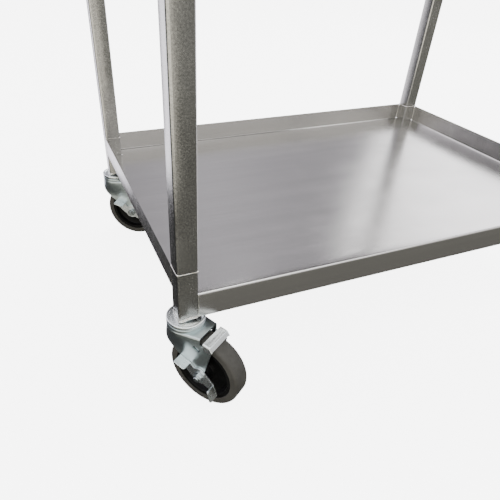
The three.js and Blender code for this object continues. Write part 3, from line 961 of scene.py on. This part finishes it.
lever_face = FORK + GAP
LEVER = 2.5 * MM
nut_face = lever_face + LEVER + GAP
HEXAGON = 8 * MM  # radius over the corners of the bolt's head and the nut
dull_zinc = plated_finish("dull_zinc", (0.50, 0.54, 0.55), 0.22)
bolt = joined(
    "bolt",
    threaded_end("bolt_end", 4 * MM, -nut_face - 9.2 * MM, -nut_face),
    settled(rod("bolt_shank", 4 * MM, -nut_face, FORK + 0.5 * MM), 40),
    hexagon_nut("bolt_head", HEXAGON, FORK + 5.8 * MM, FORK + GAP),
)
on_casters("axle_bolt_turned", bolt, "swivel", "zinc_plate", dull_zinc, "axle_bolt")
washer_end = -nut_face - 1.2 * MM
washer = filleted(
    [
        (4.2 * MM, -nut_face),
        (9 * MM, -nut_face),
        (9 * MM, washer_end),
        (4.2 * MM, washer_end),
        (4.2 * MM, -nut_face),
    ],
    np.array([0.2, 0.4, 0.0]) * MM,
)
nut = joined(
    "nut",
    hexagon_nut("nut_body", HEXAGON, -nut_face - 7 * MM, -nut_face - 1.0 * MM),
    settled(outside_in(mesh_piece("nut_flange", turned(washer, 40, "Y") + ON_AXLE)), 40),
)
on_casters("axle_nut_flanged", nut, "swivel", "zinc_plate", dull_zinc, "axle_nut")


# ---- wheels ----
# A black moulded hub with a thick boss, a thin web and a broad rim, and a grey rubber tyre
# moulded on to it.
def moulded_finish(name, tone, roughness, grit, depth, gloss):
    """Moulded plastic or rubber: even colour with a bloom of dust, and a fine surface grain."""
    finish = Finish(name, Metallic=0.0, Specular_IOR_Level=gloss)
    dust = finish.noise(finish.place, (45, 45, 45), detail=5, roughness=0.6)
    grain = finish.noise(finish.place, (grit, grit, grit), detail=3)
    pale = tuple(min(1.0, c * 1.25 + 0.006) for c in tone)
    finish.set(
        Base_Color=finish.mix(finish.smooth(dust, 0.35, 0.75), tone, pale),
        Roughness=finish.clamp(roughness + (dust - 0.5) * 0.2),
    )
    finish.relief(grain, depth, 0.5)
    return finish.material


TREAD = 32 * MM
HUB = 50.5 * MM
half = TREAD / 2
section = filleted(
    [
        (HUB + 0.1 * MM, -half + 0.6 * MM),
        (HUB + 1.0 * MM, -half),
        (WHEEL - 0.2 * MM, -half),
        (WHEEL, 0),
        (WHEEL - 0.2 * MM, half),
        (HUB + 1.0 * MM, half),
        (HUB + 0.1 * MM, half - 0.6 * MM),
        (HUB + 0.1 * MM, -half + 0.6 * MM),
    ],
    np.array([0.4, 5.2, 60, 5.2, 0.4, 0.0]) * MM,
    steps=7,
)
tyre = outside_in(mesh_piece("tyre", turned(section, 128, "Y") + ON_AXLE))
settled(tyre, 40)
rubber = moulded_finish("grey_rubber", (0.092, 0.089, 0.080), 0.62, 700, 0.0001, 0.25)
on_casters("tyre", tyre, "wheel", "tread_rubber", rubber, "wheel_tread")

boss, web, rim = 18.5 * MM, 6.5 * MM, half - 1.5 * MM
near_side = [
    (6.8 * MM, boss), (13.5 * MM, boss), (15.5 * MM, web + 2 * MM), (22 * MM, web),
    (41 * MM, web), (44.2 * MM, rim - 1.5 * MM), (45 * MM, rim), (HUB, rim),
]
far_side = [(r, -y) for r, y in reversed(near_side)]
section = filleted(
    near_side + far_side + [near_side[0]],
    np.array([1.2, 2.5, 6, 4, 1, 0.6, 0.5, 0.5, 0.6, 1, 4, 6, 2.5, 1.2, 0.0]) * MM,
    steps=5,
)
hub = outside_in(mesh_piece("hub", turned(section, 96, "Y") + ON_AXLE))
settled(hub, 40)
black = moulded_finish("black_plastic", (0.004, 0.004, 0.004), 0.38, 900, 0.00005, 0.12)
on_casters("hub_moulding", hub, "wheel", "hub_plastic", black, "wheel_hub")


# ---- brake levers ----
# A rocking plate on the axle outside the fork, with a foot pad bent outwards at each end: the upper
# one releases the brake and the lower one sets it.
PAD = 16 * MM
PAD_BEND = 3 * MM
release_bend = np.array([[-36.4, 25.2], [-16.7, 19.2]]) * MM  # along the trail and up, from the axle
lock_bend = np.array([[27.3, -4.1], [33.2, -24.9]]) * MM


def lever_outline():
    """The plate's outline about the axle: two humps round the bolt, joined to the pads' bends."""
    def arc(radius, start, stop):
        angle = np.linspace(start, stop, 13)
        return radius * np.stack([np.cos(angle), np.sin(angle)], axis=-1)

    upper, lower = arc(15.5 * MM, 2.1, 0.6), arc(14.5 * MM, -1.05, -2.6)
    between = [np.array([p]) * MM for p in ((-9, 12.5), (20.5, 2), (18, -17), (-22, 1), (-37, 15))]
    return np.concatenate(
        [release_bend, between[0], upper, between[1], lock_bend, between[2], lower, *between[3:]]
    )


def lever_plate():
    """A flat plate: rings that shrink from the outline to the hole, as shares of the way."""
    rim = divided(np.concatenate([lever_outline(), lever_outline()[:1]]), 1.0 * MM)
    bore = rim / np.linalg.norm(rim, axis=-1, keepdims=True) * AXLE_BORE
    share = np.array([0, 0.02, 0.3, 0.65, 0.94, 1])[:, None, None]
    flat = rim + (bore - rim) * share
    y = np.broadcast_to(-lever_face, flat.shape[:2])
    return np.stack([flat[..., 0] + TRAIL, y - LEVER / 2, flat[..., 1] + AXLE], axis=-1)


def foot_pad(name, bend_line):
    """A pad that runs on from the plate round a quarter bend, with its outer corners rounded. Rows
    go along the bend line, columns from inside the plate out to the pad's end."""
    along = bend_line[1] - bend_line[0]
    length = np.linalg.norm(along)
    along = along / length
    into = np.array([along[1], -along[0]])  # from the pad's face towards the plate's middle
    section = filleted([(6 * MM, 0), (LEVER / 2, 0), (LEVER / 2, PAD + LEVER / 2)], PAD_BEND)
    section = divided(section, 1.0 * MM)
    share = np.linspace(-1, 1, 25)[:, None]
    corner = np.clip((section[:, 1] - (PAD + LEVER / 2 - 3 * MM)) / (3 * MM), 0, 1)
    half = length / 2 - 3 * MM * (1 - np.sqrt(1 - corner**2))
    run = length / 2 + share * half[None]
    flat = bend_line[0] + run[..., None] * along + section[None, :, :1] * into
    y = np.broadcast_to(-lever_face - LEVER / 2 - section[:, 1], run.shape)
    return mesh_piece(name, np.stack([flat[..., 0] + TRAIL, y, flat[..., 1] + AXLE], axis=-1))


lever = mesh_piece("lever_plate_flat", lever_plate())
shell = [lever, foot_pad("release_pad", release_bend), foot_pad("lock_pad", lock_bend)]
for part in shell:
    thickened(part, LEVER, offset=0.0)
    rounding = part.modifiers.new("rounding", "BEVEL")
    rounding.width = 0.4 * MM
    rounding.segments = 2
    rounding.limit_method = "ANGLE"
    rounding.angle_limit = math.radians(50)
    settled(part)
lever = joined("lever", *shell)
on_casters("lever_plate", lever, "lever", "zinc_plate", zinc, "brake_lever")


# ---- brake shoes ----
# A bar across the fork over the tyre, bent down along its trailing edge, with a pressed rib along
# it and an ear down each side of the fork.
SHOE = 1.4 * MM
shoe_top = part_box("brake_shoe_front_left")[1].z
shoe_start = CROWN_END + 6.5 * MM


def shoe_points():
    """Rows run along the tyre, down the bar and its bent edge. Columns go from ear to ear: up, across
    and down again. Each row's ears reach down to the ear's own lower edge."""
    run = filleted([(0, 0), (12 * MM, -2 * MM), (16.5 * MM, -8.5 * MM)], 3 * MM)
    run = divided(run, 0.7 * MM)
    out = FORK + GAP + SHOE
    ease = 2.5 * MM
    turn = np.linspace(0, math.pi / 2, 6)
    edge_at = [0, 2 * MM, 14 * MM, 16.5 * MM]
    edge_low = [3 * MM, 12 * MM, 14 * MM, 9 * MM]
    depth = np.interp(run[:, 0], edge_at, edge_low) + run[:, 1]
    depth = np.clip(depth, ease + 0.2 * MM, None)
    drop = np.linspace(1, 0, 7)[None] * (depth - ease)[:, None] + ease
    count = len(run)
    ear_y = np.full((count, 7), out)
    bend_y = np.broadcast_to(out - ease * (1 - np.cos(turn[1:])), (count, 5))
    bend_z = np.broadcast_to(ease * (1 - np.sin(turn[1:])), (count, 5))
    flat_y = np.broadcast_to(np.linspace(out - ease, 0, 15)[1:], (count, 14))
    half_y = np.concatenate([ear_y, bend_y, flat_y], axis=1)
    half_z = -np.concatenate([drop, bend_z, np.zeros((count, 14))], axis=1)
    y = np.concatenate([-half_y, half_y[:, -2::-1]], axis=1)
    z = np.concatenate([half_z, half_z[:, -2::-1]], axis=1) + run[:, 1:]
    distance = run_length(run)[:, None]
    reach = np.clip((out - 4.5 * MM - np.abs(y)) / (1.5 * MM), 0, 1)
    groove = 0.4 * MM * np.exp(-(((distance - 8 * MM) / (1.9 * MM)) ** 4)) * reach
    x = np.broadcast_to(shoe_start + run[:, :1], y.shape)
    return np.stack([x, y, z + shoe_top - groove], axis=-1)


shoe = mesh_piece("shoe", shoe_points())
thickened(shoe, SHOE)
on_casters("shoe_bar", shoe, "shoe", "zinc_plate", zinc, "brake_shoe")
